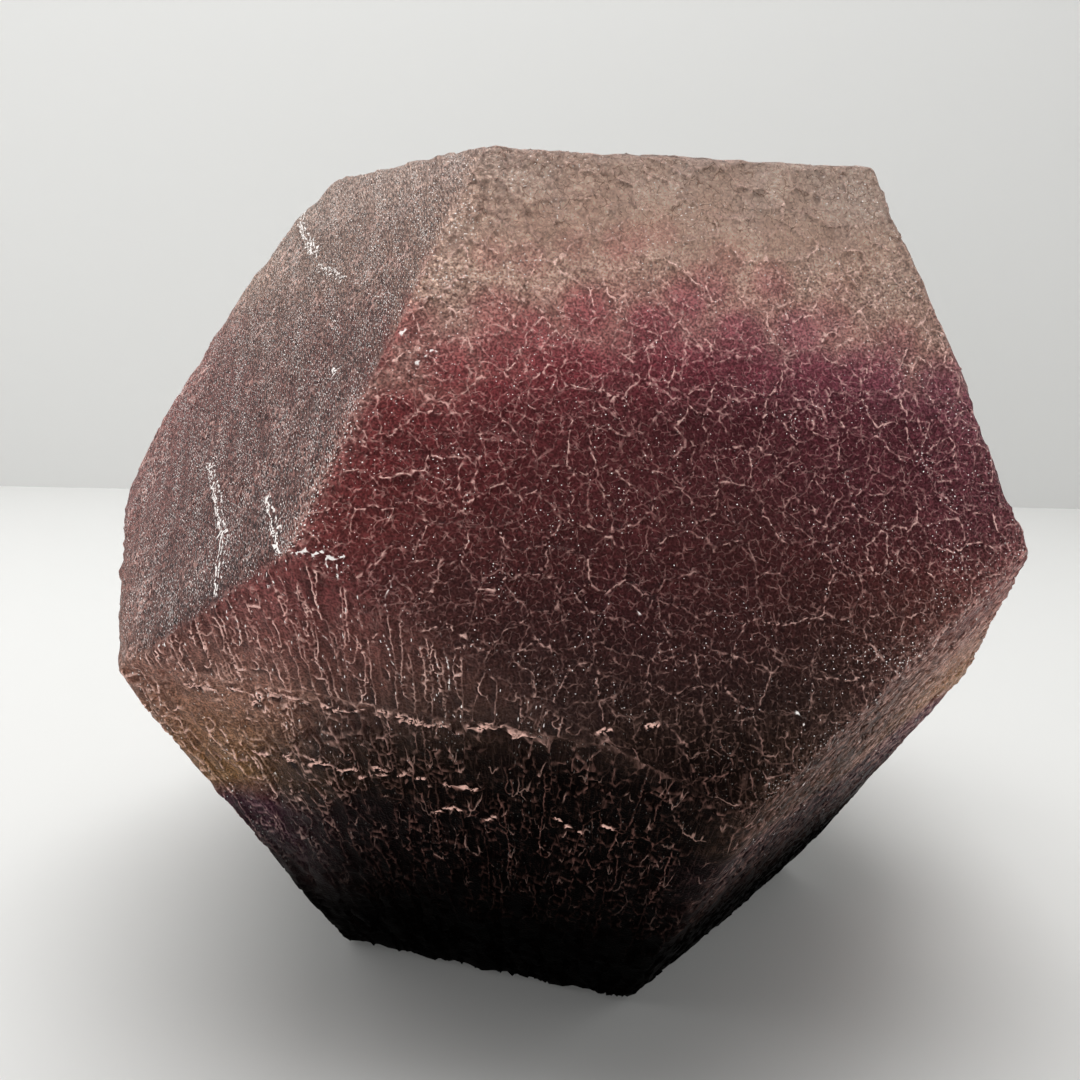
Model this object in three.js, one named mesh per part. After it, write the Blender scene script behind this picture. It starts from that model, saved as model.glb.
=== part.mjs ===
// A dodecahedron of fluorite: one solid crystal with twelve slightly uneven faces, resting on one of
// them. It is about 68 mm wide, 64 mm deep and 57 mm high.
//
// Millimetres, +Z up. The origin is on the table, under the middle of the crystal's bounding box.
// -Y is the front, where the large main face looks out.

import * as THREE from 'three';
import { ConvexGeometry } from 'three/addons/geometries/ConvexGeometry.js';

const MEAN_REACH = 28;         // from the crystal's middle to a face, before a face's own allowance
const RING_RISE = 26.565;      // degrees that an ideal ring face leans up or down from level
const RING_STEP = 72;          // degrees between neighbours in one ring of five faces
const UPPER_START = 16;        // heading of the first upper face, degrees from the front towards +X
const LOWER_START = -20;       // heading of the first lower face, half a step round from the upper one
const EDGE_RADIUS = 1.1;       // how far the edges and corners are worn round
const CORNER_STEPS = 3;        // rows of points over each rounded corner
const TOP_REACH = 1.023;       // shares of MEAN_REACH to the top face and to the base
const BASE_REACH = 1.009;
const BEVEL_HEADING = -15.6;   // a shallow bevel along the upper edge of the lower front face
const BEVEL_RISE = -20;
const BEVEL_REACH = 1.024;
const CHIP_HEADING = -78;      // the knocked-off corner at the upper left of the front
const CHIP_RISE = 48;
const CHIP_DEPTH = 1.2;        // how far the knock cuts in below the sharp corner
const TINY = 1e-6;             // tolerance for planes that miss each other and points on a plane

// How each face departs from the ideal solid: turned round, leaned up, and moved out as a share of
// MEAN_REACH.
const UPPER_FACES = [
  { turn: -5, lean: -4, reach: 0.977 },    // main front face
  { turn: 1.5, lean: -4, reach: 1.005 },   // right
  { turn: 1, lean: -1, reach: 1.0 },       // back right
  { turn: 5, lean: -3.5, reach: 0.963 },   // back left
  { turn: 0, lean: 6.5, reach: 1.017 },    // frosted left face
];
const LOWER_FACES = [
  { turn: 4, lean: 0, reach: 0.987 },      // lower front
  { turn: -3, lean: -2.5, reach: 1.0 },    // lower right
  { turn: 1, lean: -1, reach: 0.996 },     // lower back right
  { turn: 2, lean: -0.5, reach: 1.0 },     // lower back
  { turn: 9, lean: 0, reach: 1.018 },      // lower left
];

// A plane by where it faces, in degrees, and how far it stands from the crystal's middle.
function facePlane(heading, rise, distance) {
  const yaw = THREE.MathUtils.degToRad(heading);
  const pitch = THREE.MathUtils.degToRad(rise);
  const normal = new THREE.Vector3(
    Math.sin(yaw) * Math.cos(pitch),
    -Math.cos(yaw) * Math.cos(pitch),
    Math.sin(pitch),
  );
  return new THREE.Plane(normal, -distance);
}

// One ring of five faces, evenly spaced but for each face's own departures.
function ringPlanes(faces, start, rise) {
  return faces.map((face, index) => facePlane(
    start + RING_STEP * index + face.turn,
    rise + face.lean,
    MEAN_REACH * face.reach,
  ));
}

// Where three planes cross, or null when they have no single crossing.
function crossing(a, b, c) {
  const volume = a.normal.dot(b.normal.clone().cross(c.normal));
  if (Math.abs(volume) < TINY) {
    return null;
  }
  const point = b.normal.clone().cross(c.normal).multiplyScalar(-a.constant);
  point.addScaledVector(c.normal.clone().cross(a.normal), -b.constant);
  point.addScaledVector(a.normal.clone().cross(b.normal), -c.constant);
  return point.divideScalar(volume);
}

// Every corner of the solid that the planes enclose, each with the three planes that meet there.
function corners(planes) {
  const found = [];
  for (let i = 0; i < planes.length; i += 1) {
    for (let j = i + 1; j < planes.length; j += 1) {
      for (let k = j + 1; k < planes.length; k += 1) {
        const point = crossing(planes[i], planes[j], planes[k]);
        if (point && planes.every((plane) => plane.distanceToPoint(point) < TINY)) {
          found.push({ point, meeting: [planes[i], planes[j], planes[k]] });
        }
      }
    }
  }
  return found;
}

// The plane that a knock leaves, CHIP_DEPTH below the sharp corner that faces it.
function chipPlane(planes) {
  const chip = facePlane(CHIP_HEADING, CHIP_RISE, 0);
  const furthest = Math.max(...corners(planes).map(({ point }) => chip.normal.dot(point)));
  chip.constant = CHIP_DEPTH - furthest;
  return chip;
}

// Points on a ball of the edge radius about a corner that is set back by that radius, in rows between
// the three face directions. The hull of every corner's points has flat faces and round edges.
function roundedCorner({ point, meeting }) {
  const [a, b, c] = meeting.map((plane) => plane.normal);
  const points = [];
  for (let i = 0; i <= CORNER_STEPS; i += 1) {
    for (let j = 0; j <= CORNER_STEPS - i; j += 1) {
      const direction = a.clone().multiplyScalar(i);
      direction.addScaledVector(b, j);
      direction.addScaledVector(c, CORNER_STEPS - i - j);
      points.push(point.clone().addScaledVector(direction.normalize(), EDGE_RADIUS));
    }
  }
  return points;
}

const facePlanes = [
  facePlane(0, 90, MEAN_REACH * TOP_REACH),
  facePlane(0, -90, MEAN_REACH * BASE_REACH),
  ...ringPlanes(UPPER_FACES, UPPER_START, RING_RISE),
  ...ringPlanes(LOWER_FACES, LOWER_START, -RING_RISE),
  facePlane(BEVEL_HEADING, BEVEL_RISE, MEAN_REACH * BEVEL_REACH),
];
facePlanes.push(chipPlane(facePlanes));

const setBack = facePlanes.map((plane) => new THREE.Plane(plane.normal, plane.constant + EDGE_RADIUS));
const geometry = new ConvexGeometry(corners(setBack).flatMap(roundedCorner));

// Stand the crystal on the table, centred over the origin.
geometry.computeBoundingBox();
const box = geometry.boundingBox;
geometry.translate(-(box.min.x + box.max.x) / 2, -(box.min.y + box.max.y) / 2, -box.min.z);

const crystal = new THREE.Mesh(
  geometry,
  new THREE.MeshStandardMaterial({ color: 0x6b3a48, roughness: 0.55, metalness: 0 }),
);
crystal.name = 'fluorite_crystal';

const part = new THREE.Group();
part.add(crystal);

export default part;
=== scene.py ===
"""A dodecahedral fluorite crystal: etched and frosted faces over a see-through body banded in colour."""

import itertools
import math
from dataclasses import dataclass
from functools import reduce
from types import SimpleNamespace

import bpy
import numpy as np
from mathutils import Matrix, Vector, geometry, kdtree


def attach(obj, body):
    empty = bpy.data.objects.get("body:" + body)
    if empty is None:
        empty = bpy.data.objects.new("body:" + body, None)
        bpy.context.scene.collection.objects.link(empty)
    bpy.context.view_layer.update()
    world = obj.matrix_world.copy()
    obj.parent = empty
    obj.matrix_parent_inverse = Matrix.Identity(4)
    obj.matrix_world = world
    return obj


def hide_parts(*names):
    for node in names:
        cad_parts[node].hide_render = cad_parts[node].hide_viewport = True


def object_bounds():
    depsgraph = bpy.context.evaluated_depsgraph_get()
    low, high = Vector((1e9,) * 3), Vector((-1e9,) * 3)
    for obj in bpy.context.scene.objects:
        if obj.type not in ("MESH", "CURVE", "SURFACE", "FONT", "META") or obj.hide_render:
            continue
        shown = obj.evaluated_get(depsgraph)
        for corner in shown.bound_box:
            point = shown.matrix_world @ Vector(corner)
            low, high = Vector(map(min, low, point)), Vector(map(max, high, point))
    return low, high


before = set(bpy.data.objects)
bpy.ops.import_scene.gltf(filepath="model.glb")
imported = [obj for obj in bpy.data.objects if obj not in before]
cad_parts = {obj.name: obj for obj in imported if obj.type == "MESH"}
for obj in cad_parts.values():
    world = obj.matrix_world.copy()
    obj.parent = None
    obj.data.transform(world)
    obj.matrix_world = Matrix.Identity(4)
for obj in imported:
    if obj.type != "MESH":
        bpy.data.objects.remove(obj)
cad_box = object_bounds()

MM = 0.001
NODE = "fluorite_crystal"
rng = np.random.default_rng(11)

# --- The crystal's flat faces, read from the frame, and how each one is etched ---

FACE_COUNT = 13  # twelve faces and the bevel above the lower front one
SAME_WAY = 0.99995  # cosine within which two triangles lie on one face


@dataclass
class Etch:
    """How a face is etched. Lengths are in mm."""
    looks: tuple  # where the face looks: heading from the front towards +X, and rise, in degrees
    cell: float = 1.8  # the usual width of an etched cell
    stretch: float = 1.0  # how many times longer than wide a cell is, up the face
    fan: float = 0.0  # how far down the face its long cells would meet; 0 when they are parallel
    lean: float = 0.0  # degrees that the long cells lean from straight up the face
    wall: float = 0.08  # height of the walls round the cells
    kept: float = 0.9  # share of the walls that stand
    streaks: int = 0  # how many long crests run up the face besides
    level: float = 0.02  # how unevenly deep the cells are
    frost: float = 0.0  # share of pale sandy frosting
    fineness: float = 1.0  # how much finer than the main face's its lines and streaks are
    tracery: float = 0.8  # how strongly fine lines and streaks show between the walls
    light: float = 0.7  # how much light gets into the crystal through the face, next to the top
    glow: float = 0.8  # how brightly the light inside shows at the face
    dusk: float = 1.3  # how fast that fades away from the lit parts, low on the face
    step: float = 0.6  # spacing of points along a wall, which sets how finely the face is meshed


UNDER = {"stretch": 2.5, "wall": 0.12, "level": 0.08, "fineness": 1.4}  # of the lower faces at the back
FACES = {
    "main": Etch((11, 22), kept=0.95, tracery=0.75, light=0.01, glow=0.7, dusk=1.5, step=0.2),
    "left": Etch((-56, 33), cell=1.0, stretch=1.8, lean=-50.0, wall=0.04, kept=0.3, level=0.03, frost=1.0,
                 fineness=1.6, tracery=0.3, light=0.8, glow=0.64, step=0.42),
    "bevel": Etch((-16, -19), cell=1.4, stretch=4.0, fan=60.0, wall=0.12, kept=0.4, streaks=150,
                  level=0.03, frost=0.2, fineness=1.1, tracery=0.3, light=0.0, glow=0.84, dusk=0.8, step=0.3),
    "lower_front": Etch((-16, -27), cell=0.8, stretch=3.6, fan=60.0, wall=0.16, kept=0.5, streaks=165,
                        level=0.12, fineness=1.6, tracery=0.45, light=0.0, glow=1.15, dusk=2.4, step=0.38),
    "lower_right": Etch((49, -29), cell=0.8, stretch=3.0, lean=25.0, wall=0.14, kept=0.65, streaks=70,
                        level=0.09, frost=0.3, fineness=1.6, tracery=0.9, light=0.05, glow=1.1, dusk=0.7,
                        step=0.46),
    "right": Etch((89, 22), level=0.04),
    "back_right": Etch((161, 25)),
    "back_left": Etch((237, 23), frost=0.6, wall=0.06),
    "lower_left": Etch((277, -27), cell=1.1, frost=0.3, light=0.5, **UNDER),
    "lower_back": Etch((198, -27), cell=1.2, light=0.4, **UNDER),
    "lower_back_right": Etch((125, -27), cell=1.2, light=0.4, **UNDER),
    "top": Etch((0, 90), frost=0.4, light=1.0),
    "base": Etch((0, -90), cell=2.2, frost=0.6, wall=0.05, light=0.02),
}
NUMBER = {name: number for number, name in enumerate(FACES)}
EDGE_SHARPNESS = 4.0  # per mm; higher wears the edges less

# Scratches and bruises, as lines in mm across and up a face from the middle of its corners,
# with how bright each is.
SCRATCHES = {
    "left": (
        (1.0, ((-13.7, 18.6), (-11.9, 17.2), (-9.8, 16.1), (-7.6, 15.0), (-4.9, 14.1))),
        (0.7, ((-4.0, 13.6), (-2.7, 13.0), (-0.4, 12.9), (2.1, 12.4))),
        (0.8, ((-2.9, -1.9), (0.9, -3.3), (3.9, -4.6), (6.6, -6.0), (9.4, -8.3))),
        (1.0, ((9.4, -2.5), (12.3, -3.7), (14.4, -4.6))),
        (0.9, ((8.3, 5.9), (8.7, 5.8))),
    ),
    "main": (
        (1.0, ((-15.4, 9.0), (-15.1, 9.1))),
        (0.8, ((-14.8, 7.1), (-14.1, 7.7), (-13.4, 7.9))),
        (1.0, ((-21.7, -3.2), (-20.2, -3.2), (-18.8, -3.5))),
        (0.7, ((-19.9, -2.6), (-19.8, -4.5))),
        (0.6, ((-19.4, -3.6), (-19.3, -4.8))),
        (0.5, ((-16.7, -4.6), (-16.8, -6.2), (-16.6, -7.6))),
        (0.5, ((-14.0, -6.9), (-13.9, -8.4))),
        (0.7, ((-3.3, -6.6), (-3.0, -7.0))),
        (0.8, ((5.8, -12.9), (6.3, -13.2), (6.0, -13.6))),
    ),
    "bevel": (
        (0.7, ((-3.6, 4.2), (-2.2, 4.4))),
        (0.6, ((3.3, 2.6), (3.4, 0.2), (3.9, -1.6))),
        (0.6, ((6.6, 1.4), (6.8, 0.0), (6.5, -1.8))),
        (0.4, ((-4.6, 2.2), (-3.2, -2.0))),
        (0.5, ((-1.6, 3.4), (0.2, 0.2))),
    ),
    "lower_front": (
        (0.7, ((-13.5, 7.6), (-13.2, 6.6))),
        (0.6, ((-9.7, 2.3), (-9.5, 1.5))),
    ),
}

# Rows of small broken chips: the row's ends across and up a face, how far chips stray, and their number
CHIPS = {
    "lower_front": (
        ((-13.0, 9.8), (9.5, 9.6), 0.45, 42),
        ((-9.5, 4.6), (4.5, 4.0), 0.8, 16),
        ((1.0, 1.6), (12.5, 2.6), 0.5, 10),
    ),
    "bevel": (((-13.0, -3.9), (10.0, -3.6), 0.5, 14),),
    "main": (((-10.0, -13.2), (2.0, -14.4), 0.5, 8),),
}


def direction(heading, rise):
    """The unit vector that looks that way."""
    heading, rise = math.radians(heading), math.radians(rise)
    return np.array([
        math.sin(heading) * math.cos(rise),
        -math.cos(heading) * math.cos(rise),
        math.sin(rise),
    ])


def flat_faces(node):
    """The node's largest flat faces, as unit normals and distances from the origin in mm."""
    groups = []
    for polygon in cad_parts[node].data.polygons:
        normal = np.array(polygon.normal)
        for group in groups:
            if group["normal"] @ normal > SAME_WAY:
                group["area"] += polygon.area
                break
        else:
            reach = normal @ np.array(polygon.center) / MM
            groups.append({"normal": normal, "reach": reach, "area": polygon.area})
    groups.sort(key=lambda group: -group["area"])
    largest = groups[:FACE_COUNT]
    return np.array([group["normal"] for group in largest]), np.array([group["reach"] for group in largest])


def named_faces(node):
    """The faces' normals and reaches, in the order of FACES."""
    normals, reaches = flat_faces(node)
    order = [int(np.argmax(normals @ direction(*face.looks))) for face in FACES.values()]
    return normals[order], reaches[order]


def solid_corners(normals, reaches):
    """Every corner of the solid inside the planes, each with the set of faces that meet there."""
    points, meeting = [], []
    for three in itertools.combinations(range(len(normals)), 3):
        matrix = normals[list(three)]
        if abs(np.linalg.det(matrix)) < 1e-6:
            continue
        point = np.linalg.solve(matrix, reaches[list(three)])
        if (normals @ point - reaches).max() < 1e-6:
            points.append(point)
            meeting.append(set(three))
    return np.array(points), meeting


def face_axes(normal):
    """Two directions in a face: level across it, and up it."""
    across = np.cross([0.0, 0.0, 1.0], normal)
    if np.linalg.norm(across) < 1e-3:
        across = np.array([1.0, 0.0, 0.0])
    across /= np.linalg.norm(across)
    return np.array([across, np.cross(normal, across)])


# --- Noise, in numpy, for shapes ---

PRIMES = (73856093, 19349663, 83492791)  # one for each axis
MIXERS = (2654435761, 1274126177)  # large odd numbers, for mixing bits
LOW_32, LOW_24 = 0xFFFFFFFF, 0xFFFFFF


def lattice(cells, salt):
    """A repeatable random number from -1 to 1 for each whole-numbered cell."""
    mixed = np.full(cells.shape[:-1], salt * MIXERS[0] & LOW_32, np.uint64)
    for axis, prime in enumerate(PRIMES[:cells.shape[-1]]):
        whole = (cells[..., axis].astype(np.int64) & LOW_32).astype(np.uint64)
        mixed = mixed ^ whole * np.uint64(prime)
        mixed = (mixed ^ (mixed >> np.uint64(13))) * np.uint64(MIXERS[1]) & np.uint64(LOW_32)
    mixed = mixed ^ (mixed >> np.uint64(16))
    return (mixed & np.uint64(LOW_24)).astype(float) / (LOW_24 // 2) - 1.0


def noise(places, size, salt, octaves=2):
    """Smooth noise from about -1 to 1, with features of that size in mm."""
    total, weight = np.zeros(len(places)), 0.0
    for octave in range(octaves):
        scaled = places / size * 2.0**octave
        corner = np.floor(scaled).astype(np.int64)
        part = scaled - corner
        part = part * part * (3.0 - 2.0 * part)
        value = np.zeros(len(places))
        for offset in itertools.product((0, 1), repeat=places.shape[1]):
            share = np.prod(np.where(offset, part, 1.0 - part), axis=1)
            value += share * lattice(corner + np.array(offset), salt + octave)
        total += value * 0.5**octave
        weight += 0.5**octave
    return total / weight * 1.4


def smoothstep(value, low, high):
    """A share that rises smoothly from 0 at low to 1 at high, or falls where low is the higher."""
    share = np.clip((value - low) / (high - low), 0.0, 1.0)
    return share * share * (3.0 - 2.0 * share)


# --- The etched network: walls round cells, laid out flat on each face ---

ROW = math.sqrt(3) / 2  # height of a row in a triangular grid of step 1
DROPPED = 0.18  # share of the cells that merge with their neighbours
STREAK = 8.0  # mm, the longest streak up a face
TRACED = 0.15  # mm between the points along a scratch, streak or chip
STRANDS = {"left": 6}  # how many strands side by side make each scratch, where it isn't one
STRAND_SPREAD = 0.18  # mm
CLEAR = 0.12  # mm that points keep from a face's rim, and those on walls from its scratches
WALL_HALF = 0.08  # mm from a wall's crest to its foot
TRACE_HALF = 0.09  # the same for a scratch, streak or chip
BENDS = ((1.4, 0.16), (0.5, 0.14))  # size and reach of the walls' wandering, mm
JAGGED = 0.035  # mm by which the points of a wall stray
FILL_GAP = 1.7  # spacing of the points between walls, in steps
DIMPLE = 0.03  # mm that a cell's floor sinks away from its walls
RIPPLE = 0.015  # mm of unevenness on walls and floors alike
MARGIN = 3.0  # mm of seeds past a face's rim
GONE, FAINTEST = 0.1, 0.35  # share of the walls that are gone, and strength of the faintest others
LONGEST = 12  # cells; walls longer than this, past the outermost seeds, are left out
PATCH = 2.8  # mm, size of the patches in which walls stand or are worn away
CREST_GAP, TRACE_GAP, FOOT_GAP = 0.13, 0.07, 0.15  # mm that points keep from others of their kind
CURL = 0.28  # mm across, where a streak ends in a curl
CHIP_HALF, CHIP_GAP = (0.12, 0.5), 0.11  # mm, half a chip's width, and between its two crests
SHADED_SIDE = np.array([-0.5, -0.85])  # across and up a face, the side of a wall that light misses


def scattered(low, high, step, jitter=0.3):
    """A loose triangular grid of points from corner low to corner high."""
    columns = np.arange(low[0], high[0] + step, step)
    rows = np.arange(low[1], high[1] + step, step * ROW)
    x, y = np.meshgrid(columns, rows)
    x[1::2] += step / 2
    grid = np.column_stack([x.ravel(), y.ravel()])
    return grid + rng.uniform(-jitter, jitter, grid.shape) * step


def to_cells(spots, face):
    """Spots on a face, mapped to a plane in which its cells are as wide as long."""
    if face.fan:
        turn = np.arctan2(spots[:, 0], spots[:, 1] + face.fan)
        long = np.hypot(spots[:, 0], spots[:, 1] + face.fan) - face.fan
        return np.column_stack([turn * face.fan, long / face.stretch])
    lean = math.tan(math.radians(face.lean))
    return np.column_stack([spots[:, 0] - lean * spots[:, 1], spots[:, 1] / face.stretch])


def from_cells(spots, face):
    """The way back from to_cells."""
    long = spots[:, 1] * face.stretch
    if face.fan:
        turn = spots[:, 0] / face.fan
        reach = long + face.fan
        return np.column_stack([reach * np.sin(turn), reach * np.cos(turn) - face.fan])
    lean = math.tan(math.radians(face.lean))
    return np.column_stack([spots[:, 0] + lean * long, long])


def cell_seeds(outline, face):
    """A seed for each cell, in the plane of to_cells."""
    plane = to_cells(outline, face)
    low, high = plane.min(axis=0) - MARGIN, plane.max(axis=0) + MARGIN
    seeds = scattered(low, high, face.cell, 0.5)
    return seeds[rng.random(len(seeds)) > DROPPED]


def cell_walls(seeds):
    """The walls between the seeds' cells, as an array of pairs of ends."""
    made = geometry.delaunay_2d_cdt([Vector(seed) for seed in seeds], [], [], 0, 1e-9, False)
    corners = np.array([tuple(v) for v in made[0]])
    triangles = np.array(made[2])
    a, b, c = (corners[triangles[:, i]] for i in range(3))
    ab, ac = b - a, c - a
    area = 2.0 * (ab[:, 0] * ac[:, 1] - ab[:, 1] * ac[:, 0])
    ab2, ac2 = (ab**2).sum(axis=1), (ac**2).sum(axis=1)
    centres = a + np.column_stack([
        (ac[:, 1] * ab2 - ab[:, 1] * ac2) / area,
        (ab[:, 0] * ac2 - ac[:, 0] * ab2) / area,
    ])
    sides = np.sort(np.vstack([triangles[:, [0, 1]], triangles[:, [1, 2]], triangles[:, [2, 0]]]), axis=1)
    owner = np.tile(np.arange(len(triangles)), 3)
    order = np.lexsort((sides[:, 1], sides[:, 0]))
    sides, owner = sides[order], owner[order]
    paired = np.flatnonzero((sides[1:] == sides[:-1]).all(axis=1))
    return np.stack([centres[owner[paired]], centres[owner[paired + 1]]], axis=1)


def rim_distance(spots, outline):
    """How far inside the outline, which runs anticlockwise, each spot lies."""
    nearest = np.full(len(spots), np.inf)
    for a, b in zip(outline, np.roll(outline, -1, axis=0)):
        along = (b - a) / np.linalg.norm(b - a)
        nearest = np.minimum(nearest, (spots - a) @ np.array([-along[1], along[0]]))
    return nearest


def tree_of(points):
    """A search tree of 2-D points."""
    tree = kdtree.KDTree(len(points))
    for i, point in enumerate(points):
        tree.insert((*point, 0.0), i)
    tree.balance()
    return tree


def gaps(spots, tree):
    """The distance from each spot to the tree's nearest point."""
    return np.array([tree.find((*spot, 0.0))[2] for spot in spots])


def thinned(spots, gap):
    """The numbers of the spots less those that share a square of that size with an earlier one."""
    squares = np.floor(spots / gap).astype(int)
    return np.sort(np.unique(squares, axis=0, return_index=True)[1])


def wandered(spots, outline, salt, stretch):
    """The spots pushed about in the plane, less and less towards the rim."""
    hold = smoothstep(rim_distance(spots, outline), 0.0, 1.2)[:, None]
    push = np.zeros_like(spots)
    for size, reach in BENDS:
        across, along = (noise(spots, size, salt + more, 1) for more in (0, 50))
        push += reach * np.column_stack([across / stretch, along])
    return spots + push * hold


def crest_lines(face, outline, salt, seeds):
    """Points on the walls' tops and at their feet, and how strong the wall is at each point on top."""
    ends = cell_walls(seeds)
    starts, stops = from_cells(ends[:, 0], face), from_cells(ends[:, 1], face)
    lengths = np.linalg.norm(stops - starts, axis=1)
    sound = (lengths > 0.1) & (lengths < LONGEST * face.cell)
    sound &= rim_distance((starts + stops) / 2, outline) > -face.cell * face.stretch
    draw = rng.random(len(starts))
    strength = np.where(draw < GONE, 0.0, FAINTEST + (1.0 - FAINTEST) * draw)
    crest, foot, power = [], [], []
    for start, stop, length, strong in zip(starts[sound], stops[sound], lengths[sound], strength[sound]):
        count = max(1, round(length / face.step))
        shares = (np.arange(count + 1) / count)[:, None]
        line = start * (1 - shares) + stop * shares
        side = np.array([start[1] - stop[1], stop[0] - start[0]]) / length * WALL_HALF
        line[1:-1] += rng.normal(0.0, JAGGED, (count - 1, 2))
        crest.append(line)
        power.append(np.full(len(line), strong))
        foot += [line[::2] + side, line[1::2] - side]
    crest, foot, power = np.vstack(crest), np.vstack(foot), np.concatenate(power)
    stands = 0.5 + 0.45 * noise(crest, PATCH, salt, 2)
    power *= smoothstep(stands, 0.7 - face.kept, 1.0 - face.kept)
    return crest, foot, power


def streak_lines(face, outline):
    """Long crests up a face, some of them curled round at the lower end."""
    plane = to_cells(outline, face)
    low, high = plane.min(axis=0), plane.max(axis=0)
    for _ in range(face.streaks):
        length = rng.uniform(0.25, 1.0)**2 * STREAK / face.stretch
        sway = 0.15 * np.sin(np.linspace(0.0, rng.uniform(2.0, 6.0), 8))
        line = rng.uniform(low, high) + np.column_stack([sway, np.linspace(0.0, -length, 8)])
        if rng.random() < 0.5:
            turn = np.linspace(0.6, 2.6, 4)[:, None]
            curl = rng.choice([-CURL, CURL])
            line = np.vstack([line, line[-1] + np.hstack([curl * (1 - np.cos(turn)), -0.1 * np.sin(turn)])])
        yield from_cells(line, face)


def chip_lines(name):
    """Short level crests, set in pairs close together, along a face's rows of chips."""
    for start, stop, stray, count in CHIPS.get(name, ()):
        for _ in range(count):
            share = rng.random()
            middle = np.array(start) * (1 - share) + np.array(stop) * share + rng.normal(0.0, stray / 2, 2)
            half = rng.uniform(*CHIP_HALF) * np.array([1.0, rng.uniform(-0.4, 0.4)])
            for rise in (0.0, CHIP_GAP):
                yield np.array([middle - half, middle + half * rng.uniform(0.2, 1.0)]) + np.array([0.0, rise])


def traced(line, power, spark):
    """Points along a line and on both sides of it, with the crest, power, spark and painted shade at each."""
    spots, marks = [], []
    for a, b in zip(line[:-1], line[1:]):
        length = np.linalg.norm(b - a)
        count = max(2, round(length / TRACED))
        shares = (np.arange(count) / count)[:, None]
        track = a * (1 - shares) + b * shares + rng.normal(0.0, 0.02, (count, 2))
        side = np.array([a[1] - b[1], b[0] - a[0]]) / max(length, 1e-6)
        strength = rng.uniform(0.6, 1.0, count)
        spots.append(track)
        shine = spark * rng.uniform(0.0, 1.2, count)
        marks.append(np.column_stack([np.full(count, power > 0), strength * power, shine, 0.0 * shine]))
        for way, part in ((side, slice(0, None, 2)), (-side, slice(1, None, 2))):
            spots.append(track[part] + TRACE_HALF * way)
            # Shade painted beside the line, darkest on the side that light misses
            hollow = max(power, spark) * (0.6 + 0.4 * way @ SHADED_SIDE)
            marks.append(np.tile([0.0, power, 0.0, hollow], (len(track[part]), 1)))
    return np.vstack(spots), np.vstack(marks)


def traced_lines(name, outline):
    """Points on and beside a face's scratches, streaks and chips, with the same marks as traced."""
    lines = []
    for shine, line in SCRATCHES.get(name, ()):
        for strand in range(STRANDS.get(name, 1)):
            aside = min(strand, 1) * rng.normal(0.0, STRAND_SPREAD, 2)
            lines.append((np.array(line) + aside, 0.0, shine))
    lines += [(line, rng.uniform(0.6, 1.3), 0.0) for line in streak_lines(FACES[name], outline)]
    lines += [(line, 2.0, 0.0) for line in chip_lines(name)]
    made = [traced(*line) for line in lines] + [(np.zeros((0, 2)), np.zeros((0, 4)))]
    spots, marks = (np.vstack(part) for part in zip(*made))
    kept = rim_distance(spots, outline) > CLEAR
    spots, marks = spots[kept], marks[kept]
    order = np.argsort(-np.maximum(marks[:, 0] * marks[:, 1], marks[:, 2]), kind="stable")
    order = order[thinned(spots[order], TRACE_GAP)]
    return spots[order], marks[order]


def beside_walls(foot, walls, wall_tree, power):
    """The marks at the walls' feet, with shade painted there, darkest on the walls' lower left."""
    nearest = np.array([wall_tree.find((*spot, 0.0))[1] for spot in foot])
    away = foot - walls[nearest]
    away /= np.linalg.norm(away, axis=1, keepdims=True)
    power = power[nearest]
    return np.column_stack([0.0 * power, power, 0.0 * power, power * (0.6 + 0.4 * away @ SHADED_SIDE)])


def laid_out(name, outline, rim, salt, seeds):
    """Points on a face's walls, at their feet and between them, a search tree of the walls, and the marks.

    The marks are crest, power, spark and painted shade.
    """
    face = FACES[name]
    crest, foot, power = crest_lines(face, outline, salt, seeds)
    chosen = np.flatnonzero((power > 0.1) & (rim_distance(crest, outline) > CLEAR))
    chosen = chosen[np.argsort(-power[chosen], kind="stable")]
    chosen = chosen[thinned(crest[chosen], CREST_GAP)]
    scratch, scratch_marks = traced_lines(name, outline)
    crest, power = crest[chosen], power[chosen]
    if len(scratch):
        clear = gaps(crest, tree_of(scratch)) > CLEAR
        crest, power = crest[clear], power[clear]
    walls = np.vstack([crest, scratch])
    wall_tree = tree_of(walls)
    foot = foot[rim_distance(foot, outline) > CLEAR]
    foot = foot[thinned(foot, FOOT_GAP)]
    near = gaps(foot, wall_tree)
    foot = foot[(near > 0.8 * WALL_HALF) & (near < 2.0 * WALL_HALF)]
    foot = foot[gaps(foot, tree_of(rim)) > 0.1]
    fill = scattered(outline.min(axis=0), outline.max(axis=0), face.step * FILL_GAP)
    fill = fill[rim_distance(fill, outline) > 1.5 * CLEAR]
    fill = fill[gaps(fill, tree_of(np.vstack([crest, scratch, foot, rim]))) > face.step * 0.8]
    spots = np.vstack([crest, scratch, foot, fill])
    crest_marks = np.column_stack([np.ones(len(crest)), power, np.zeros((len(crest), 2))])
    walls_power = np.concatenate([power, scratch_marks[:, 1:3].max(axis=1)])
    foot_marks = beside_walls(foot, walls, wall_tree, walls_power)
    marks = np.vstack([crest_marks, scratch_marks, foot_marks, np.zeros((len(fill), 4))])
    marks[:, 3] *= min(1.0, face.wall / 0.12)
    return spots, wall_tree, marks


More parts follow.
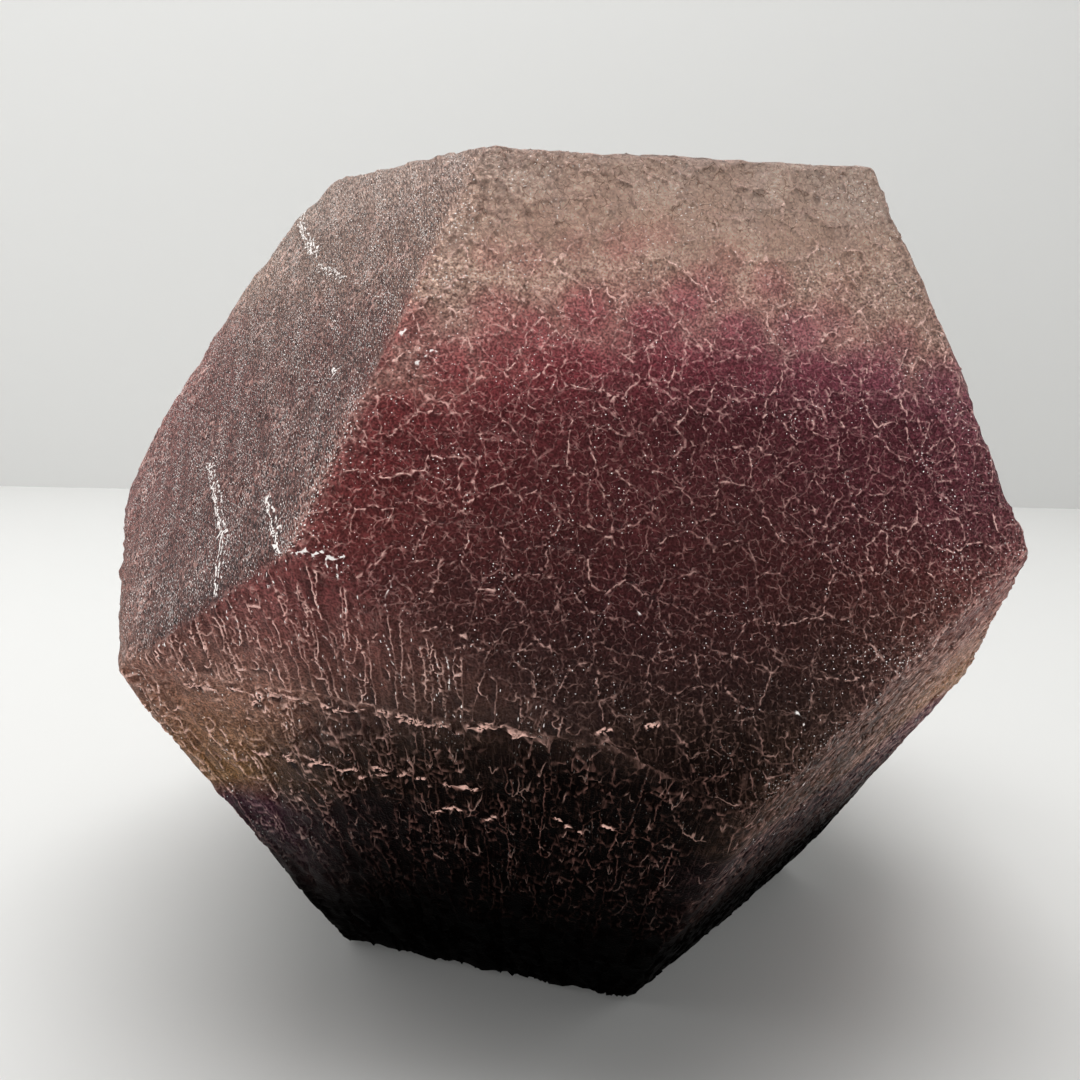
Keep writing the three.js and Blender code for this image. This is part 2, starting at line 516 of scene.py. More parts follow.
def cell_floors(face, seeds, spots, wall_tree):
    """How high the cells' floors are at each spot, and how deep that spot's cell is.

    Each floor lies at its own depth and tilt, and sinks a little away from its walls.
    """
    seed_tree = tree_of(seeds)
    cell = np.array([seed_tree.find((*spot, 0.0))[1] for spot in to_cells(spots, face)])
    depth = rng.uniform(-1.0, 1.0, len(seeds))
    tilt = rng.uniform(-1.0, 1.0, (len(seeds), 2)) / face.cell
    middles = from_cells(seeds, face)[cell]
    floor = depth[cell] + ((spots - middles) * tilt[cell]).sum(axis=1).clip(-1.0, 1.0)
    floor = face.level * floor - DIMPLE * smoothstep(gaps(spots, wall_tree), 0.0, 0.6)
    return floor, depth[cell]


def etched_face(name, outline, rim, salt):
    """Points on a face, in its own plane, with the marks on each.

    The marks are height, crest (1 on a wall's top), power (how strong that wall is), spark, shade (the cell's
    depth) and the painted shade beside the walls.
    """
    face = FACES[name]
    seeds = cell_seeds(outline, face)
    spots, wall_tree, marks = laid_out(name, outline, rim, salt, seeds)
    floor, depth = cell_floors(face, seeds, spots, wall_tree)
    height = np.where(marks[:, 0] > 0, face.wall * np.minimum(marks[:, 1], 1.0), floor)
    height += RIPPLE * noise(spots, 0.6, salt + 9, 2)
    marks = np.column_stack([height, marks[:, :3], depth, marks[:, 3]])
    return wandered(spots, outline, salt + 20, face.stretch), marks


# --- The crystal: the etched faces joined round their edges, worn and in place ---

# What the material reads at each point, in this order, among them painted shade beside the walls and a
# painted highlight on ledges
MARKS = ("crest", "power", "frost", "tracery", "spark", "shade", "hollow", "lift", "lit")
SINK = 0.2  # mm by which the relief lies under the flat faces
SWELL = 0.12  # mm of slow unevenness over a face
ROUGH = 0.1  # mm of roughness about 1 mm across, most of all along the edges
SLIVER = 0.001  # mm; triangles this near a rim have all three points on it
BLEND = 0.45  # mm over which one face's etching passes into the next one's
EDGE_ROUGH = 2.0  # mm from an edge in which the roughness fades
RAYS = 64  # how many ways each point looks for light, for the inner glow
THICK = 9.0  # mm of crystal that light fades in
FULL_GLOW = 0.03  # the inner glow that shows the tint in full
SLOW_FADE = (22.0, 30.0)  # height in mm, over which the tint's fading turns from fast to slow
NEAR_TOP = (41.0, 47.0)  # height in mm, over which the tint turns brighter towards the top
BEVEL_BARE = (0.0, -10.0)  # X in mm, between which the bevel's frosting grows to its full strength
# Places where a face stands proud of flat, or is chipped away: middle, reach and height in mm
BULGES = (
    ((-25.5, -5.0, 44.0), 13.0, 0.45),
    ((23.5, -12.0, 44.0), 11.0, 0.6),
    ((24.5, -21.0, 28.0), 5.0, 0.35),
    ((-19.3, 0.5, 56.9), 2.6, -1.0),
)
WORN_CORNER = ((-34.3, -4.3, 33.7), 3.5)  # place and reach, mm
# The broken step between the bevel and the lower front face: its ends, depth and how far it fades
STEP = ((-26.0, -22.5, 25.3), (1.5, -31.5, 24.8), 0.32, 2.2)
# The second pair sets a band of painted shade under the step's lip
LIP, LIP_SHADOW = (-0.1, 0.14), (0.45, 0.35)  # mm below the step's line, and half as wide as they are
APART = 100.0  # mm between the faces in the plane that the material's patterns lie in
SALTS = 100  # kinds of noise set aside for each face


def worn(points, normals, reaches, sharpness):
    """The points moved onto the solid with its edges worn round, and the way out at each."""
    points = points.copy()
    for _ in range(5):
        proud = points @ normals.T - reaches
        weight = np.exp(sharpness[:, None] * (proud - proud.max(axis=1, keepdims=True)))
        total = weight.sum(axis=1)
        over = np.log(total) / sharpness + proud.max(axis=1)
        slope = (weight / total[:, None]) @ normals
        points -= slope * (over / (slope * slope).sum(axis=1))[:, None]
    return points, slope / np.linalg.norm(slope, axis=1, keepdims=True)


def rim_points(corners, meeting):
    """Points along every edge of the solid, and the numbers of those on each edge."""
    faces = list(FACES.values())
    points, edges, total = [np.array(corners)], {}, len(corners)
    for a, b in itertools.combinations(range(len(corners)), 2):
        shared = meeting[a] & meeting[b]
        if len(shared) == 2:
            step = min(faces[face].step for face in shared)
            count = max(1, round(np.linalg.norm(corners[b] - corners[a]) / step))
            shares = np.arange(1, count)[:, None] / count
            points.append(corners[a] * (1 - shares) + corners[b] * shares)
            edges[a, b] = [a, *range(total, total + count - 1), b]
            total += count - 1
    return np.vstack(points), edges


def rim_of(number, corners, meeting, edges, axes):
    """A face's middle, its corners anticlockwise in its own plane, and the numbers of its rim's points."""
    own = [corner for corner in range(len(corners)) if number in meeting[corner]]
    middle = corners[own].mean(axis=0)
    flat = (corners[own] - middle) @ axes.T
    turn = np.argsort(np.arctan2(flat[:, 1], flat[:, 0]))
    own = [own[i] for i in turn]
    rim = []
    for a, b in zip(own, own[1:] + own[:1]):
        rim += edges[a, b][:-1] if (a, b) in edges else edges[b, a][:0:-1]
    return middle, flat[turn], rim


def joined(rim, spread, outline):
    """Triangles that join a face's points, of which the first ones are its rim's."""
    border = [list(range(len(rim)))]
    made = geometry.delaunay_2d_cdt([Vector(spot) for spot in spread], [], border, 1, 1e-7, True)
    source = np.array([ids[0] for ids in made[3]])
    triangles = source[np.array(made[2])]
    return triangles[rim_distance(spread[triangles].mean(axis=1), outline) >= SLIVER]


def crystal_points(normals, reaches):
    """The sharp solid's mesh: points in mm, triangles, the points' marks and the corners' pattern places."""
    corners, meeting = solid_corners(normals, reaches)
    rims, edges = rim_points(corners, meeting)
    power = np.clip(0.1 + 0.7 * noise(rims, 0.9, 4, 2), 0.0, 1.0)
    height = 0.05 * noise(rims, 0.7, 3, 2) + 0.05 * power
    rim_marks = np.column_stack([height, np.ones(len(rims)), power, np.zeros((len(rims), 3))])
    points, marks, triangles, cells = [rims], [rim_marks], [], []
    total = len(rims)
    for number, (name, face) in enumerate(FACES.items()):
        axes = face_axes(normals[number])
        middle, outline, rim = rim_of(number, corners, meeting, edges, axes)
        rim_spots = (rims[rim] - middle) @ axes.T
        spots, own_marks = etched_face(name, outline, rim_spots, SALTS * number)
        spread = np.vstack([rim_spots, spots])
        own = joined(rim, spread, outline)
        triangles.append(np.array(rim + list(range(total, total + len(spots))))[own])
        plane = to_cells(spread[own].reshape(-1, 2), face)
        cells.append(plane * face.fineness + np.array([APART * number, 0.0]))
        points.append(middle + spots @ axes)
        marks.append(own_marks)
        total += len(spots)
    return np.vstack(points), np.vstack(triangles), np.vstack(marks), np.vstack(cells)


def stepped(points):
    """Depth in mm that the broken step takes off at each point, how near its lip is, and the shade painted
    under the lip.
    """
    start, stop, depth, fade = STEP
    start, stop = np.array(start), np.array(stop)
    along = (stop - start) / np.linalg.norm(stop - start)
    offset = points - start
    travel = offset @ along
    down = -(offset - travel[:, None] * along)[:, 2]
    down += 0.5 * noise(points, 1.6, 61, 1) + 0.25 * noise(points, 0.6, 62, 1)
    on = (travel > 0) & (travel < np.linalg.norm(stop - start)) & (points[:, 1] < -15)
    taken = smoothstep(down, -0.15, 0.1) * np.exp(-np.maximum(down, 0) / fade) * on
    # The band under the lip is painted shade, in broken patches
    lip, lip_shadow = (np.exp(-((down - middle) / half)**2) * on for middle, half in (LIP, LIP_SHADOW))
    patchy = smoothstep(noise(points, 2.0, 63, 2), -0.5, 0.4)
    chipped = smoothstep(noise(points, 0.7, 64, 1), -0.6, 0.2)
    shadow_gaps = smoothstep(noise(points, 0.9, 65, 1), -0.2, 0.3)
    return depth * taken * (0.4 + 0.6 * patchy), lip * patchy * chipped, 1.4 * lip_shadow * patchy * shadow_gaps


def bulged(points):
    """How far each point stands proud of flat, in mm."""
    proud = np.zeros(len(points))
    for middle, reach, height in BULGES:
        away = ((points - np.array(middle))**2).sum(axis=1) / reach**2
        proud += height * np.exp(-2.0 * away)
    return proud


def blended(nearness, name):
    """One measure of the faces' etching, blended at each point over the faces near it."""
    return nearness @ np.array([getattr(face, name) for face in FACES.values()])


def frosting(points, nearness, depths):
    """How thickly each point is frosted: by its face, and more along some of the edges."""
    nearness = nearness.copy()
    nearness[:, NUMBER["bevel"]] *= smoothstep(points[:, 0], *BEVEL_BARE)
    frost = blended(nearness, "frost")
    left, main, right, under = (depths[:, NUMBER[name]] for name in ("left", "main", "right", "lower_right"))
    front, side = nearness[:, NUMBER["main"]], nearness[:, NUMBER["left"]]
    height = points[:, 2]
    seam = smoothstep(height, 27.0, 31.0) * smoothstep(height, 45.0, 40.0)
    frost += seam * (0.9 * np.exp(-(left + main) / 0.7) + 0.3 * side * np.exp(-main / 5.0))
    frost += 0.6 * front * np.exp(-left / 5.0) * smoothstep(height, 45.0, 49.0)
    frost += 0.5 * front * np.exp(-right / 2.5) * smoothstep(height, 20.0, 30.0)
    frost += 0.75 * np.exp(-(main + under) / 1.0) * smoothstep(height, 8.0, 16.0)
    return frost


def inner_glow(points, outward, normals, reaches):
    """How much light from outside gets through the body to each point, from 0 to 1."""
    light = np.array([face.light for face in FACES.values()])
    total, weight = np.zeros(len(points)), np.zeros(len(points))
    for i in range(RAYS):
        rise = 1.0 - (2 * i + 1) / RAYS
        turn = i * math.pi * (3.0 - math.sqrt(5.0))
        way = np.array([math.cos(turn), math.sin(turn), 0.0]) * math.sqrt(1.0 - rise * rise)
        way[2] = rise
        share = np.maximum(-(outward @ way), 0.0)**1.5
        facing = normals @ way
        leaving = facing > 1e-6
        runs = (reaches[leaving] - points @ normals[leaving].T) / facing[leaving]
        runs = np.maximum(runs, 0.0)
        far = runs.argmin(axis=1)
        total += share * np.exp(-runs.min(axis=1) / THICK) * light[leaving][far]
        weight += share
    return total / weight


def lighting(points, nearness, glow):
    """How brightly the light inside shows the tint at each point, from 0 to 1."""
    shown, dusk = blended(nearness, "glow"), blended(nearness, "dusk")
    upper = smoothstep(points[:, 2], *SLOW_FADE)
    near_top = smoothstep(points[:, 2], *NEAR_TOP)
    share = glow / FULL_GLOW
    slow = 0.75 * share**0.22 + 0.12 * smoothstep(share, 1.0, 4.0)
    lit = (1.0 - upper) * share**dusk + upper * slow
    shown += (1.0 - shown) * near_top * nearness[:, NUMBER["main"]]
    near_top *= 1.0 - nearness[:, NUMBER["left"]]
    return shown * np.clip(lit + 0.25 * near_top, 0.0, 1.0)


def edge_sharpness(points):
    """How sharp the solid's edges are at each point, per mm: uneven, and least at the worn corner."""
    sharpness = EDGE_SHARPNESS * np.exp(0.35 * noise(points, 6.0, 5, 2))
    place, reach = WORN_CORNER
    away = np.linalg.norm(points - np.array(place), axis=1) / reach
    return sharpness * (1.0 - 0.7 * np.exp(-away * away))


def crystal_mesh():
    """The crystal's surface, with what the material reads at each point."""
    normals, reaches = named_faces(NODE)
    points, triangles, marks, cells = crystal_points(normals, reaches)
    height, crest, power, spark, shade, hollow = marks.T
    rest, outward = worn(points, normals, reaches, edge_sharpness(points))
    depths = reaches - points @ normals.T
    edge = np.exp(-np.sort(depths, axis=1)[:, 1] / EDGE_ROUGH)
    taken, lip, lip_shadow = stepped(points)
    height = height + SWELL * noise(points, 5.0, 6, 2) - SINK - taken
    height += ROUGH * noise(points, 1.1, 7, 2) * (0.25 + edge)
    shape = rest + outward * (np.minimum(height, 0.0) + bulged(points))[:, None]
    low, high = (np.array(corner) / MM for corner in cad_box)
    mesh = bpy.data.meshes.new("fluorite")
    mesh.from_pydata(np.clip(shape, low, high) * MM, [], triangles.tolist())

    nearness = np.exp(-depths / BLEND)
    nearness /= nearness.sum(axis=1, keepdims=True)
    facing = np.zeros((len(mesh.vertices), 3), np.float32)
    mesh.vertex_normals.foreach_get("vector", facing.ravel())
    glow = inner_glow(rest, outward, normals, reaches)
    # Among these: a painted highlight where the relief faces more upward than its face, and painted shade
    # beside the walls and under the step's lip
    values = (
        np.maximum(crest, lip), np.maximum(power, lip), frosting(points, nearness, depths),
        blended(nearness, "tracery"), spark, shade, np.maximum(hollow, lip_shadow),
        facing[:, 2] - outward[:, 2], lighting(points, nearness, glow),
    )
    for name, value in zip(MARKS, values):
        mesh.attributes.new(name, "FLOAT", "POINT").data.foreach_set("value", value.astype(np.float32))
    flat = mesh.attributes.new("cells", "FLOAT2", "CORNER")
    flat.data.foreach_set("vector", cells.astype(np.float32).ravel())
    mesh.polygons.foreach_set("use_smooth", [True] * len(mesh.polygons))
    mesh.update()
    return mesh


# --- Materials ---


class Tree:
    """Short names for the nodes that a material uses. Sizes on a face and heights are in mm."""

    def __init__(self, material):
        material.use_nodes = True
        self.tree = material.node_tree
        self.body = self.tree.nodes["Principled BSDF"]
        self.out = self.tree.nodes["Material Output"]

    def feed(self, socket, value):
        if isinstance(value, bpy.types.NodeSocket):
            self.tree.links.new(value, socket)
        elif value is not None:
            socket.default_value = value

    def node(self, kind, *inputs, **settings):
        """A new node with those settings and, in their order, those inputs."""
        node = self.tree.nodes.new(kind)
        for name, value in settings.items():
            setattr(node, name, value)
        for socket, value in zip(node.inputs, inputs):
            self.feed(socket, value)
        return node

    def attribute(self, name, output="Fac"):
        return self.node("ShaderNodeAttribute", attribute_name=name).outputs[output]

    def axis(self, at, name):
        """One coordinate of a place."""
        return self.node("ShaderNodeSeparateXYZ", at).outputs[name]

    def math(self, operation, a, b=None, c=None):
        return self.node("ShaderNodeMath", a, b, c, operation=operation).outputs[0]

    def linear(self, value, slope, start):
        """The value times the slope, and the start added."""
        return self.math("MULTIPLY_ADD", value, slope, start)

    def times(self, *factors):
        return reduce(lambda a, b: self.math("MULTIPLY", a, b), factors)

    def most(self, *values):
        return reduce(lambda a, b: self.math("MAXIMUM", a, b), values)

    def noise(self, at, scale, detail, roughness=0.5, output=0, dimensions="3D"):
        node = self.node("ShaderNodeTexNoise", noise_dimensions=dimensions)
        for name, value in (("Vector", at), ("Scale", scale), ("Detail", detail), ("Roughness", roughness)):
            self.feed(node.inputs[name], value)
        return node.outputs[output]

    def flat_noise(self, flat, scale, detail=1.0, roughness=0.5, output=0):
        return self.noise(flat, scale, detail, roughness, output, "2D")

    def vector(self, operation, *values):
        return self.node("ShaderNodeVectorMath", *values, operation=operation).outputs[0]

    def warped(self, flat, size, reach, detail):
        """The place moved by up to about half the reach, with bends of that size."""
        bend = self.flat_noise(flat, 1.0 / size, detail, 0.6, "Color")
        return self.vector("MULTIPLY_ADD", bend, (reach, reach, 0.0), flat)

    def cells(self, flat, size, feature):
        """The outputs of a flat pattern of cells of that size."""
        node = self.node("ShaderNodeTexVoronoi", feature=feature, voronoi_dimensions="2D")
        self.feed(node.inputs["Vector"], flat)
        self.feed(node.inputs["Scale"], 1.0 / size)
        return node.outputs

    def lines(self, flat, size, *widths):
        """Thin lines between flat cells of that size, from 0 to 1, for each of the widths."""
        edge = self.cells(flat, size, "DISTANCE_TO_EDGE")["Distance"]
        return [self.span(edge, 0.3 * width / size, width / size, 1.0, 0.0) for width in widths]

    def scallops(self, flat, size):
        """How near each place is to the lower end of its cell, from 0 to 1."""
        middle = self.cells(flat, size, "F1")["Position"]
        above = self.math("SUBTRACT", self.axis(flat, "Y"), self.axis(middle, "Y"))
        return self.span(above, -0.35 * size, -0.1 * size, 1.0, 0.0)

    def span(self, value, low, high, to_low=0.0, to_high=1.0, smooth=True):
        inputs = (value, low, high, to_low, to_high)
        shape = "SMOOTHSTEP" if smooth else "LINEAR"
        return self.node("ShaderNodeMapRange", *inputs, interpolation_type=shape, clamp=True).outputs[0]

    def between(self, height, low, high, to_low=0.0, to_high=1.0):
        """As span, for a length in the scene's metres, between two in mm."""
        return self.span(height, low * MM, high * MM, to_low, to_high)

    def tint(self, share, a, b, mode="MIX"):
        node = self.node("ShaderNodeMix", data_type="RGBA", blend_type=mode, clamp_factor=True)
        self.feed(node.inputs[0], share)
        self.feed(node.inputs[6], a)
        self.feed(node.inputs[7], b)
        return node.outputs[2]

    def product(self, a, b):
        """One colour times another, or times a number."""
        return self.tint(1.0, a, b, "MULTIPLY")


# The growth bands: height in mm, and the tint there, which also holds painted shade, black towards the
# bottom, and painted light, pale towards the top. The material squares its tints at the end.
BANDS_AND_SHADING = (
    (0.0, (0.00, 0.00, 0.00)),
    (8.0, (0.04, 0.02, 0.04)),
    (12.0, (0.17, 0.08, 0.15)),
    (16.5, (0.29, 0.14, 0.22)),
    (18.5, (0.69, 0.51, 0.31)),
    (26.0, (0.70, 0.50, 0.41)),
    (33.0, (0.64, 0.29, 0.30)),
    (39.0, (0.66, 0.26, 0.29)),
    (43.8, (0.75, 0.36, 0.38)),
    (46.3, (0.87, 0.60, 0.55)),
    (49.5, (1.00, 0.85, 0.74)),
    (57.0, (1.00, 0.90, 0.82)),
)
WAVE_SCALE, WAVE = 90.0, 7.0  # how closely the bands wave, per m, and how high, mm
ARCH_MIDDLE = 4.0  # X in mm, where the upper bands arch highest
ARCH_RUN, ARCH_SHIFT = (3.0, 23.0), (-2.4 * MM, 3.0 * MM)  # the arch's run aside, mm, and shift over it
LOBE, LOBE_SHIFT = 3.0, (-1.3 * MM, 1.5 * MM)  # size of the lobes along the wine band's edge, mm
RED_SIDE = (1.08, 0.90, 0.85, 1.0)  # what the wine band is multiplied by on the left
PURPLE_SIDE = (0.95, 1.05, 1.26, 1.0)  # and on the right


def banded_and_shaded(tree, at, flat):
    """The tint of the growth bands, with painted shade low down and painted light near the top; the bands lie
    level, a little wavy and, near the top, lobed.
    """
    across = tree.axis(at, "X")
    wave = tree.noise(at, WAVE_SCALE, 1.0, 0.6)
    height = tree.linear(wave, WAVE * MM, tree.math("SUBTRACT", tree.axis(at, "Z"), WAVE / 2 * MM))
    aside = tree.math("ABSOLUTE", tree.math("SUBTRACT", across, ARCH_MIDDLE * MM))
    arched = tree.times(tree.between(height, 38, 46), tree.between(aside, *ARCH_RUN, *ARCH_SHIFT))
    height = tree.math("ADD", height, arched)
    lobes = tree.span(tree.cells(flat, LOBE, "F1")["Distance"], 0.2, 0.7, *LOBE_SHIFT)
    height = tree.math("ADD", height, tree.times(tree.between(height, 36, 42), lobes))
    top = BANDS_AND_SHADING[-1][0]
    ramp = tree.node("ShaderNodeValToRGB", tree.math("DIVIDE", height, top * MM))
    stops = ramp.color_ramp.elements
    while len(stops) < len(BANDS_AND_SHADING):
        stops.new(0.5)
    for stop, (place, tint) in zip(stops, BANDS_AND_SHADING):
        stop.position = place / top
        stop.color = (*tint, 1.0)
    side = tree.tint(tree.between(across, -20, 26), RED_SIDE, PURPLE_SIDE)
    wine = tree.times(tree.between(height, 32, 38), tree.between(height, 48, 43))
    return tree.tint(wine, ramp.outputs[0], tree.product(ramp.outputs[0], side))


BODY = {"IOR": 1.434, "Roughness": 0.55, "Specular IOR Level": 0.02, "Specular Tint": (0.6, 0.35, 0.35, 1.0)}
BUMP = 0.05  # mm, height of the finest grain
GRAIN_SCALE = 7500.0  # per m
LINE_CELL, FINE_CELL = 1.15, 0.5  # mm, the cells that fine and finest lines run between
ABSORBED, DENSITY = (0.62, 0.30, 0.40, 1.0), 12.0  # colour and strength of the volume absorption
# Pale tint of painted light, where most light gets through, and of frosting
PALE_LIGHT_AND_FROST = (0.80, 0.58, 0.55, 1.0)
WALL_TINT = (1.0, 0.82, 0.77, 1.0)
GLOOM = (0.38, 0.26, 0.235, 1.0)  # walls where no light gets through
DARK_LINE = (0.30, 0.22, 0.18, 1.0)  # fine lines near the top
# Pale tint of the chips, partly a painted highlight, and of the painted highlights on the cells' lower ends
CHIP_AND_HIGHLIGHT_TINT = (0.93, 0.73, 0.67, 1.0)
SAND_TINT = (0.72, 0.55, 0.51, 1.0)
# White of the scratches, and of the painted glints over the frosting
SCRATCH_AND_GLINT_TINT = (1.0, 0.98, 0.96, 1.0)


def shared(tree):
    """What the parts of the fluorite share: places, the mesh's marks, heights, grain and patches."""
    on = SimpleNamespace(**{name: tree.attribute(name) for name in MARKS})
    on.at = tree.node("ShaderNodeTexCoord").outputs["Object"]
    on.flat = tree.attribute("cells", "Vector")
    on.bent = tree.warped(on.flat, 0.8, 0.6, 2.0)
    on.height = tree.axis(on.at, "Z")
    on.high = tree.between(on.height, 49, 53)
    on.low = tree.between(on.height, 31, 22)
    # Painted shade: the colour, and the light through it, fade towards the bottom, where the crystal stands
    # in its own shadow
    on.foot = tree.between(on.height, 4, 18, 0.02, 1.0)
    on.grain = tree.noise(on.at, GRAIN_SCALE, 0.0)
    on.broken = tree.flat_noise(on.flat, 3.0, 0.0)
    return on


def body_tint(tree, on):
    """The body's tint, brightest where light gets through to it."""
    shaded = tree.span(on.shade, -1.0, 1.0, 0.9, 1.07, smooth=False)
    grain = tree.span(on.grain, 0.3, 0.7, -1.0, 1.0, smooth=False)
    grained = tree.linear(grain, tree.linear(on.high, -0.2, 0.32), 1.0)
    crumbs = tree.math("SUBTRACT", tree.flat_noise(on.flat, 2.4, 1.0, 0.6), 0.5)
    crumbled = tree.linear(tree.linear(on.frost, 1.2, 0.4), crumbs, 1.0)
    waist = tree.times(tree.between(on.height, 20, 30), tree.between(on.height, 50, 45))
    # Painted light: paler where the most light gets through, and also where frosted
    pale_light_and_frost = tree.most(tree.span(on.lit, 0.72, 1.0, 0.0, 0.5), tree.times(on.frost, 0.6))
    tint = tree.tint(tree.times(pale_light_and_frost, waist), banded_and_shaded(tree, on.at, on.bent), PALE_LIGHT_AND_FROST)
    return tree.product(tint, tree.times(on.lit, shaded, grained, crumbled))


def fine_lines(tree, on):
    """Fine lines between the walls, fibres low down and borders round the lobes; and a painted highlight, in
    broken patches, on the cells' lower ends.
    """
    thin, broad = tree.lines(on.bent, LINE_CELL, 0.06, 0.11)
    finest, = tree.lines(on.bent, FINE_CELL, 0.045)
    border, = tree.lines(on.bent, LOBE, 0.09)
    patchy = tree.span(tree.flat_noise(on.flat, 0.9), 0.40, 0.58)
    fibres = tree.flat_noise(tree.vector("MULTIPLY", on.flat, (5.0, 0.7, 1.0)), 1.0, 1.0, 0.6)
    lines = tree.most(
        tree.times(thin, patchy, 0.8),
        tree.times(finest, tree.span(on.broken, 0.4, 0.6), 0.6),
        tree.times(tree.span(fibres, 0.55, 0.68), on.low, 0.5),
        tree.times(border, patchy, tree.between(on.height, 38, 42), tree.between(on.height, 52, 47)),
    )
    chipped = tree.span(tree.flat_noise(on.flat, 0.7), 0.50, 0.62)
    # Painted highlight: the lower ends of the cells, whose walls face up towards the light
    ends = tree.times(broad, tree.scallops(on.bent, LINE_CELL), on.low, chipped)
    return tree.times(on.tracery, tree.linear(on.high, 0.4, 1.0), lines), ends


def white_marks(tree, on):
    """White marks along the scratches, and painted glints in clusters over the frosting, dimmer where less
    light gets through.
    """
    glint_noise = tree.linear(tree.flat_noise(on.flat, 0.35), 0.25, tree.flat_noise(on.flat, 8.0, 0.0))
    # Painted glints over the frosting
    glints = tree.span(tree.linear(on.frost, 0.12, glint_noise), 0.97, 1.05)
    glints = tree.times(glints, tree.span(on.lit, 0.0, 0.4, 0.3, 1.0))
    return tree.most(tree.span(on.spark, 0.15, 0.6), glints)


def skin(tree, on, tint):
    """The tint with walls, lines, chips, frosting, scratches and painted glints over it, with painted
    highlights and painted shade, and how much they cloud it.
    """
    fine, ends = fine_lines(tree, on)
    strength = tree.span(on.broken, 0.35, 0.6, 0.5, 0.9)
    # Painted highlight on ledges of the relief that face up towards the light
    line = tree.times(tree.most(fine, tree.times(tree.span(on.lift, 0.3, 0.6), 0.5)), strength)
    wall = tree.times(tree.span(on.crest, 0.35, 0.9), on.power, tree.linear(on.high, -0.4, 1.0), strength)
    wall_tint = tree.tint(tree.span(on.lit, 0.0, 0.5, smooth=False), GLOOM, WALL_TINT)
    colour = tree.tint(line, tint, tree.tint(on.high, wall_tint, DARK_LINE))
    colour = tree.tint(wall, colour, wall_tint)
    # Painted highlight on the cells' lower ends, brighter where more light gets through
    colour = tree.tint(tree.times(ends, tree.span(on.lit, 0.0, 0.5, 0.5, 0.9)), colour, CHIP_AND_HIGHLIGHT_TINT)
    sandy = tree.span(tree.flat_noise(on.flat, 3.5, 1.0, 0.6), 0.44, 0.6, 0.0, 0.8)
    sand = tree.times(on.frost, sandy)
    colour = tree.tint(tree.times(sand, 0.5), colour, SAND_TINT)
    chip = tree.times(tree.span(on.power, 1.1, 1.7), tree.span(on.crest, 0.3, 0.7))
    # Painted shade darkens the colour beside the walls and under the step's lip
    colour = tree.product(tree.tint(chip, colour, CHIP_AND_HIGHLIGHT_TINT), tree.linear(on.hollow, -0.5, 1.0))
    white = white_marks(tree, on)
    return tree.tint(white, colour, SCRATCH_AND_GLINT_TINT), tree.most(line, wall, sand, white)


def fluorite():
    """See-through fluorite under an etched skin, with pale walls, frosting, scratches and painted glints, and
    painted light and shade.
    """
    material = bpy.data.materials.new("fluorite")
    tree = Tree(material)
    on = shared(tree)
    for name, value in BODY.items():
        tree.body.inputs[name].default_value = value
    bump = tree.node("ShaderNodeBump")
    for name, value in (("Strength", 1.0), ("Distance", BUMP * MM), ("Height", on.grain)):
        tree.feed(bump.inputs[name], value)
    tree.feed(tree.body.inputs["Normal"], bump.outputs[0])

    colour, clouded = skin(tree, on, body_tint(tree, on))
    # Painted shade towards the bottom
    colour = tree.product(colour, on.foot)
    tree.feed(tree.body.inputs["Base Color"], tree.product(colour, colour))
    clear = tree.span(tree.times(on.lit, on.foot), 0.0, 0.3, 0.02, 0.8, smooth=False)
    clear = tree.times(clear, tree.span(clouded, 0.0, 1.0, 1.0, 0.15))
    tree.feed(tree.body.inputs["Transmission Weight"], clear)

    absorb = tree.node("ShaderNodeVolumeAbsorption")
    absorb.inputs["Color"].default_value = ABSORBED
    absorb.inputs["Density"].default_value = DENSITY
    tree.feed(tree.out.inputs["Volume"], absorb.outputs[0])
    return material


crystal = bpy.data.objects.new("fluorite_body", crystal_mesh())
bpy.context.scene.collection.objects.link(crystal)
crystal.data.materials.append(fluorite())
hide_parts(NODE)
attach(crystal, "root")


# --- Stage, light and camera ---

BACK = 165.0  # mm from the origin to the backdrop
WIDE = 900.0  # half the floor's width, mm
FLOOR = (0.68, 0.68, 0.665)


def plain(name, colour, roughness):
    """A material of one colour."""
    material = bpy.data.materials.new(name)
    material.use_nodes = True
    body = material.node_tree.nodes["Principled BSDF"]
    body.inputs["Base Color"].default_value = (*colour, 1.0)
    body.inputs["Roughness"].default_value = roughness
    return material


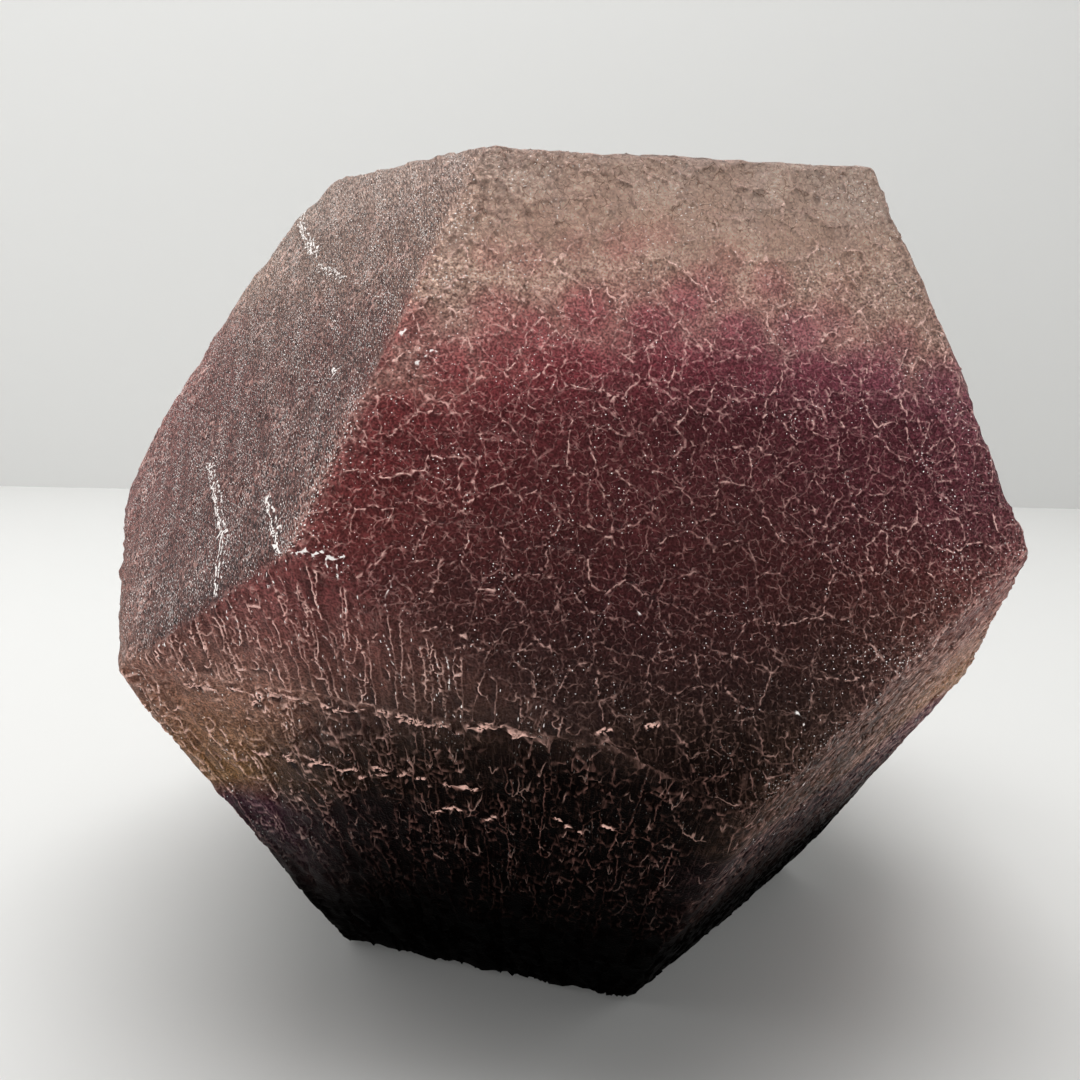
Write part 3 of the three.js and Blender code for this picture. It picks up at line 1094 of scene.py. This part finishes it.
def sheet(name, corners, material):
    """A flat part of the stage, with its corners in mm."""
    mesh = bpy.data.meshes.new(name)
    mesh.from_pydata([Vector(corner) * MM for corner in corners], [], [range(len(corners))])
    mesh.materials.append(material)
    made = bpy.data.objects.new(name, mesh)
    bpy.context.scene.collection.objects.link(made)
    return made


def lamp(name, place, aim, size, watts):
    """A soft rectangular light, with its place, aim and size in mm."""
    light = bpy.data.lights.new(name, "AREA")
    light.shape = "RECTANGLE"
    light.size, light.size_y = size[0] * MM, size[1] * MM
    light.energy = watts
    made = bpy.data.objects.new(name, light)
    made.location = Vector(place) * MM
    made.rotation_euler = (Vector(aim) - Vector(place)).to_track_quat("-Z", "Y").to_euler()
    bpy.context.scene.collection.objects.link(made)


paving = plain("stage_floor", FLOOR, 0.9)
sheet("floor", [(-WIDE, -WIDE, 0), (WIDE, -WIDE, 0), (WIDE, BACK, 0), (-WIDE, BACK, 0)], paving)
backing = plain("stage_backdrop", (0.64, 0.64, 0.627), 0.9)
sheet("backdrop", [(-WIDE, BACK, 0), (WIDE, BACK, 0), (WIDE, BACK, 500), (-WIDE, BACK, 500)], backing)
lamp("top_panel", (-22, 10, 320), (-22, 0, 0), (300, 200), 1.0)
lamp("front_fill", (-60, -330, 70), (0, 0, 30), (200, 120), 0.5)
lamp("left_wall", (-200, 20, 120), (0, 0, 20), (240, 200), 0.18)
lamp("right_wall", (200, 20, 120), (0, 0, 20), (240, 200), 0.12)

world = bpy.data.worlds.new("studio")
world.use_nodes = True
world.node_tree.nodes["Background"].inputs[0].default_value = (0.9, 0.92, 0.95, 1)
world.node_tree.nodes["Background"].inputs[1].default_value = 0.06
bpy.context.scene.world = world

camera = bpy.data.objects.new("camera", bpy.data.cameras.new("camera"))
camera.data.lens = 33.37
camera.data.sensor_width = 36.0
camera.data.clip_start = 0.001
PITCH, ROLL = 13.53, 1.22
camera.location = Vector((-1.64, -80.92, 48.25)) * MM
turn = Matrix.Rotation(math.radians(90 - PITCH), 3, "X") @ Matrix.Rotation(math.radians(ROLL), 3, "Z")
camera.rotation_euler = turn.to_euler()
bpy.context.scene.collection.objects.link(camera)
bpy.context.scene.camera = camera
bpy.context.scene.view_settings.view_transform = "Standard"
